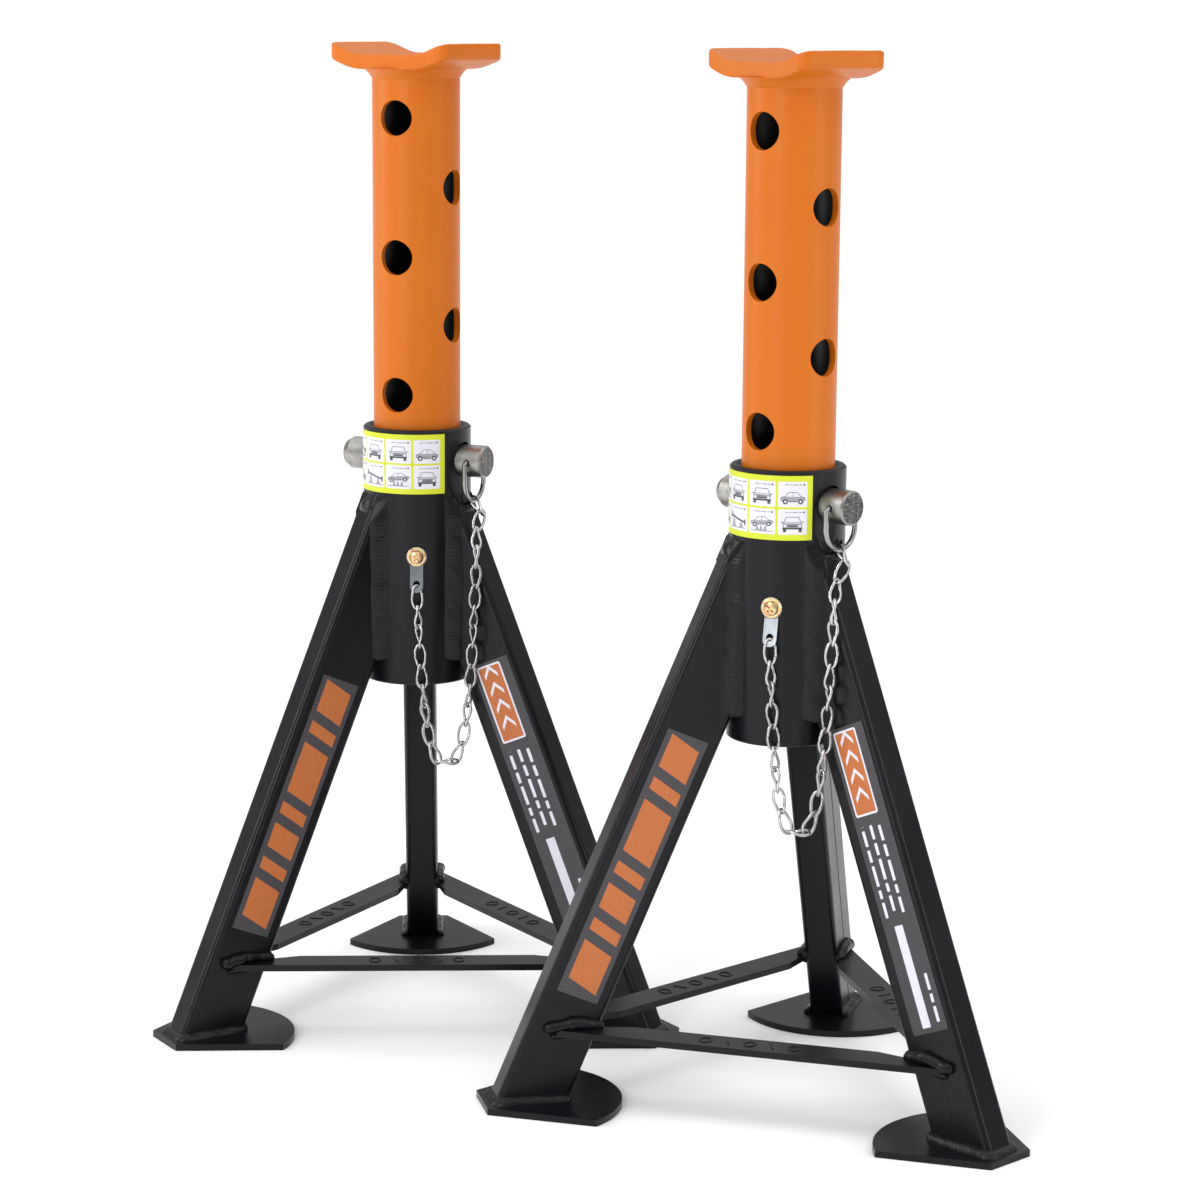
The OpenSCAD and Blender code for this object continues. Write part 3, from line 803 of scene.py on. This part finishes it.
def chain(st):
    """The keeper chain in four pieces, each built over its CAD piece and baked in place, riding no body."""
    spots, half = chain_joints()
    links = []
    for i in range(LINKS):
        sway = 0 if i in (0, LINKS - 1) else 5 * noise(i * 2.1, 3 if st.key == "a" else 8)
        turn = math.radians(LINK_FIRST + sway - LINK_TURN * i)
        links.append(link_mesh(spots[i], spots[i + 1], half, turn))
    for name, first, last in (("chain_tab_end", 0, 3), ("chain_tab_run", 4, 10),
                              ("chain_pin_run", 11, 19), ("chain_pin_end", 20, 23)):
        v, f = joined(links[first:last + 1])
        o = build(name + "_links", st, v, f, WIRE, replaces=(name,), rides=False)
        top, low = spots[first], spots[last + 1]
        below = Vector((top.x, top.y, CHAIN_LOW))
        if name == "chain_tab_end":
            a, b, start, end = st.frame, st.n("tab"), low, top
        elif name == "chain_tab_run":
            a, b, start, end = st.frame, st.n("pin"), top, below + (below - top)
        elif name == "chain_pin_run":
            ground = Vector((low.x, low.y, CHAIN_LOW))
            a, b, start, end = st.frame, st.n("pin"), ground + (ground - low), low
        else:
            a, b, start, end = st.n("pin"), st.n("ring"), top, low
        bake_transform(o)


# ---------------------------------------------------------------- labels

def round_rect(x0, y0, x1, y1, r, n=4):
    corners = ((x1 - r, y1 - r, 0), (x0 + r, y1 - r, 90), (x0 + r, y0 + r, 180), (x1 - r, y0 + r, 270))
    turns = [(cx, cy, math.radians(q0 + 90 * i / n)) for cx, cy, q0 in corners for i in range(n + 1)]
    return [(cx + r * math.cos(q), cy + r * math.sin(q)) for cx, cy, q in turns]


def disc(cx, cy, r, n=14):
    turns = [2 * math.pi * i / n for i in range(n)]
    return [(cx + r * math.cos(q), cy + r * math.sin(q)) for q in turns]


def stroke(points, wide=0.3):
    """Thin bars along a line of points."""
    bars = []
    for (ax, ay), (bx, by) in zip(points, points[1:]):
        d = math.hypot(bx - ax, by - ay)
        nx, ny = -(by - ay) / d * wide / 2, (bx - ax) / d * wide / 2
        bars.append([(ax + nx, ay + ny), (bx + nx, by + ny), (bx - nx, by - ny), (ax - nx, ay - ny)])
    return bars


# Plain drawings round the middle of a panel. Each gives its dark, grey and pale shapes.
GROUND = [(-7, -4.6), (7, -4.6)]


def icon_front():
    fade = [[(-5.6, -2.2), (5.6, -2.2), (5.5, 0.4), (-5.5, 0.4)]]
    dark = [round_rect(-5.7, -3.1, 5.7, -2.2, 0.3), round_rect(-5.3, -4.7, -3.5, -3.1, 0.3),
            round_rect(3.5, -4.7, 5.3, -3.1, 0.3), round_rect(-2.8, -1.7, 2.8, -1.0, 0.2),
            round_rect(-2.6, -0.6, 2.6, -0.3, 0.1)]
    dark += stroke([(-5.5, 0.4), (-4.7, 1.0), (-3.6, 3.9), (3.6, 3.9), (4.7, 1.0), (5.5, 0.4)])
    dark += stroke([(-4.7, 1.0), (4.7, 1.0)], 0.22)
    dark += stroke([(-6.4, 1.0), (-5.2, 0.8)], 0.4) + stroke([(6.4, 1.0), (5.2, 0.8)], 0.4)
    pale = [disc(-4.2, -1.2, 0.75, 10), disc(4.2, -1.2, 0.75, 10)]
    return dark, fade, pale


def icon_side():
    fade = [[(-7, -2.9), (7, -2.9), (7.2, -1.1), (4.8, -0.3), (-4.4, -0.2), (-7, -0.9)]]
    dark = [disc(-4.2, -3.1, 1.55), disc(4.4, -3.1, 1.55), round_rect(-2.4, -3.3, 2.6, -2.8, 0.2)]
    dark += stroke([(-7, -0.9), (-4.4, -0.2), (-2.2, 2.3), (2.2, 2.3), (4.8, -0.3), (7.2, -1.1)])
    dark += stroke([(0.1, 2.2), (0.1, -0.2)], 0.25)
    pale = [disc(-4.2, -3.1, 0.7, 10), disc(4.4, -3.1, 0.7, 10)]
    return dark, fade, pale


def icon_beam():
    fade = [[(-4.4, 0.8), (-3.5, 0.7), (-2.0, -4.6), (-5.9, -4.6)],
            [(2.9, -1.0), (3.8, -1.1), (5.2, -4.6), (1.4, -4.6)]]
    dark = [[(-6.6, 2.4), (6.6, -0.6), (6.6, -1.6), (-6.6, 1.4)], round_rect(-7.2, 0.4, -6.2, 3.8, 0.3),
            round_rect(6.1, -2.8, 7.1, 0.6, 0.3)]
    return dark + stroke(GROUND, 0.25), fade, []


def icon_raised():
    """The side drawing, lifted and tilted over three props."""
    def tilt(shapes):
        return [[(x, y * 0.8 + 1.6 + x * 0.08) for x, y in sh] for sh in shapes]
    dark, fade, pale = map(tilt, icon_side())
    props = [[(c - 0.3, -1.6), (c + 0.3, -1.6), (c + 1.1, -4.5), (c - 1.1, -4.5)] for c in (-2.6, -0.2, 2.4)]
    return dark + stroke(GROUND, 0.25), fade + props, pale


PANEL_WIDE, PANEL_HIGH, PANEL_ACROSS, PANEL_DOWN = 16.6, 14.6, 18.05, 15.85
LABEL_EDGE = {"a": math.radians(-52), "b": math.radians(-59)}
LABEL_LOW, LABEL_MARGIN = 334.5, 3.2


def sleeve_label(st):
    """Two rows of pale panels, each with a drawing under a line of plain bars."""
    r0 = SLEEVE_R + LABEL_TOP

    def place(x, y, h):
        q = LABEL_EDGE[st.key] - (LABEL_MARGIN + x) / SLEEVE_R
        return (r0 + h) * math.cos(q), (r0 + h) * math.sin(q), LABEL_LOW + y
    panels, dark, fade, pale = [], [], [], []
    icons = ((icon_side, icon_front, icon_front, icon_beam), (icon_front, icon_raised, icon_beam, icon_side))
    for row in range(2):
        for col in range(4):
            x0, y0 = col * PANEL_ACROSS, 3.3 + (1 - row) * PANEL_DOWN
            cx, cy = x0 + PANEL_WIDE / 2, y0 + 6.3
            panels.append(round_rect(x0, y0, x0 + PANEL_WIDE, y0 + PANEL_HIGH, 1.0))
            for shapes, group in zip(icons[row][col](), (dark, fade, pale)):
                group += [[(cx - px, cy + py) for px, py in sh] for sh in shapes]
            x = 2.4
            for wide in (2.2, 1.3, 2.9, 1.8):
                fade.append(round_rect(x0 + 15.2 - x - wide, y0 + 12.5, x0 + 15.2 - x, y0 + 13.1, 0.1))
                x += wide + 0.5
            left, right, low, high = x0 + 1.4, x0 + 2.4, y0 + 12.4, y0 + 13.3
            dark.append([(left, low), (right, low), (right, high), (left, high)])
    layers = (("panels", panels, PALE, 0.0, 0.05), ("icons_pale", fade, FADE, 0.05, 0.03),
              ("icons_dark", dark, INK, 0.08, 0.03), ("icons_light", pale, PALE, 0.11, 0.03))
    for name, shapes, mat, lift, thick in layers:
        v, f = joined([curved_slab(sh, lift, thick, place) for sh in shapes])
        build("label_" + name, st, v, f, mat, smooth=False)


def curved_slab(outline, lift, thick, place):
    """Like slab, but cut into 1 mm strips so that it follows a round wall."""
    bm = bmesh.new()
    vs = [bm.verts.new((x, y, 0)) for x, y in outline]
    bm.faces.new(vs)
    lo, hi = min(x for x, _ in outline), max(x for x, _ in outline)
    x = math.ceil(lo)
    while x < hi:
        geom = bm.verts[:] + bm.edges[:] + bm.faces[:]
        bmesh.ops.bisect_plane(bm, geom=geom, plane_co=(x, 0, 0), plane_no=(1, 0, 0), dist=1e-5)
        x += 1.0
    bm.verts.ensure_lookup_table()
    bm.verts.index_update()
    flat = [tuple(v.co) for v in bm.verts]
    n = len(flat)
    verts = [place(x, y, lift) for x, y, _ in flat] + [place(x, y, lift + thick) for x, y, _ in flat]
    faces = []
    for fc in bm.faces:
        ids = [v.index for v in fc.verts]
        faces += [tuple(i + n for i in ids), tuple(ids[::-1])]
    for e in bm.edges:
        if len(e.link_faces) == 1:
            a, b = e.verts[0].index, e.verts[1].index
            faces.append((a, b, b + n, a + n))
    bm.free()
    return verts, faces


def leg_labels(st):
    """Amber bars on the left leg. A badge of chevrons and lines of plain dashes on the right."""
    def left(x, y, h):
        return on_leg(LEGS["left"], 1, x, y, LABEL_TOP + h)

    def right(x, y, h):
        return on_leg(LEGS["right"], -1, x, y, LABEL_TOP + h)
    bars = []
    x = 88
    for wide, gap in ((26, 5), (9, 5), (17, 5), (9, 5), (34, 5), (9, 5), (22, 0)):
        bar = [(x - 3.5, 30.0), (x + wide - 5, 30.0), (x + wide, 10.5), (x + 1.5, 10.5)]
        bars.append(slab(bar, 0, 0.05, left))
        x += wide + gap
    v, f = joined(bars)
    build("label_left_bars", st, v, f, AMBER, smooth=False)
    pale = [slab(round_rect(206, 10.4, 256, 28.2, 1.4), 0, 0.04, right),
            slab(round_rect(82, 16.2, 141.4, 22.6, 0.4), 0, 0.04, right)]
    for depth, lo, hi in ((12.6, 148, 200), (19.2, 150, 200), (26, 147, 200), (9.4, 84, 112)):
        q, i = lo, 0
        while q < hi:
            wide = (9, 5, 12, 7)[i % 4]
            top = min(hi, q + wide)
            pale.append(slab(round_rect(q, depth - 1.1, top, depth + 1.1, 0.5), 0, 0.04, right))
            q, i = top + 2.2, i + 1
    v, f = joined(pale)
    build("label_right_pale", st, v, f, PALE, smooth=False)
    v, f = slab(round_rect(207.2, 11.6, 254.8, 27, 0.9), 0.04, 0.04, right)
    build("label_right_badge", st, v, f, AMBER, smooth=False)
    inner = []
    for i in range(4):
        c = 214 + i * 11
        arrow = [(c, 14.4), (c + 6, 19.3), (c, 24.2), (c + 2.8, 24.2), (c + 8.8, 19.3), (c + 2.8, 14.4)]
        inner.append(slab(arrow, 0.08, 0.04, right))
    v, f = joined(inner)
    build("label_right_chevrons", st, v, f, PALE, smooth=False)


# ---------------------------------------------------------------- finish on the CAD solids

def soften(o, width, segments=2, angle=35):
    """Rounds the sharp edges by width mm."""
    mod = o.modifiers.new("edge", "BEVEL")
    mod.width = width * MM
    mod.segments = segments
    mod.limit_method = "ANGLE"
    mod.angle_limit = math.radians(angle)
    mod.harden_normals = True


def dress(st):
    """Materials on every CAD solid, and softened edges where it shows."""
    def give(name, mat):
        o = NODES[st.n(name)]
        o.data.materials.clear()
        o.data.materials.append(mat)
        return o
    for leg in LEGS:
        give("leg_" + leg, BLACK)
        soften(give("foot_" + leg, BLACK), 0.7)
    for side in ("front", "left", "right"):
        soften(give("brace_" + side, BLACK), 0.5)
    soften(give("sleeve", BLACK), 1.0, 3, 50)
    c = centre_of(st.n("column"))
    give("column", orange_paint("orange_tube_" + st.key, (c.x, c.y, (COLUMN_R - COLUMN_WALL + 0.15) * MM)))
    give("saddle", ORANGE)
    give("pin", scratched("pin_steel_" + st.key, tuple(joint(st.n("pin_pull"))["axis"])))
    give("ring", RING)
    soften(give("tab", ZINC), 0.25)
    give("screw", GOLD)
    give("label_sleeve", LIME)
    give("label_left", DARK)
    give("label_right", DARK)


for st in STANDS:
    dress(st)
    frame_welds(st)
    brace_marks(st)
    saddle(st)
    saddle_weld(st)
    chain(st)
    sleeve_label(st)
    leg_labels(st)
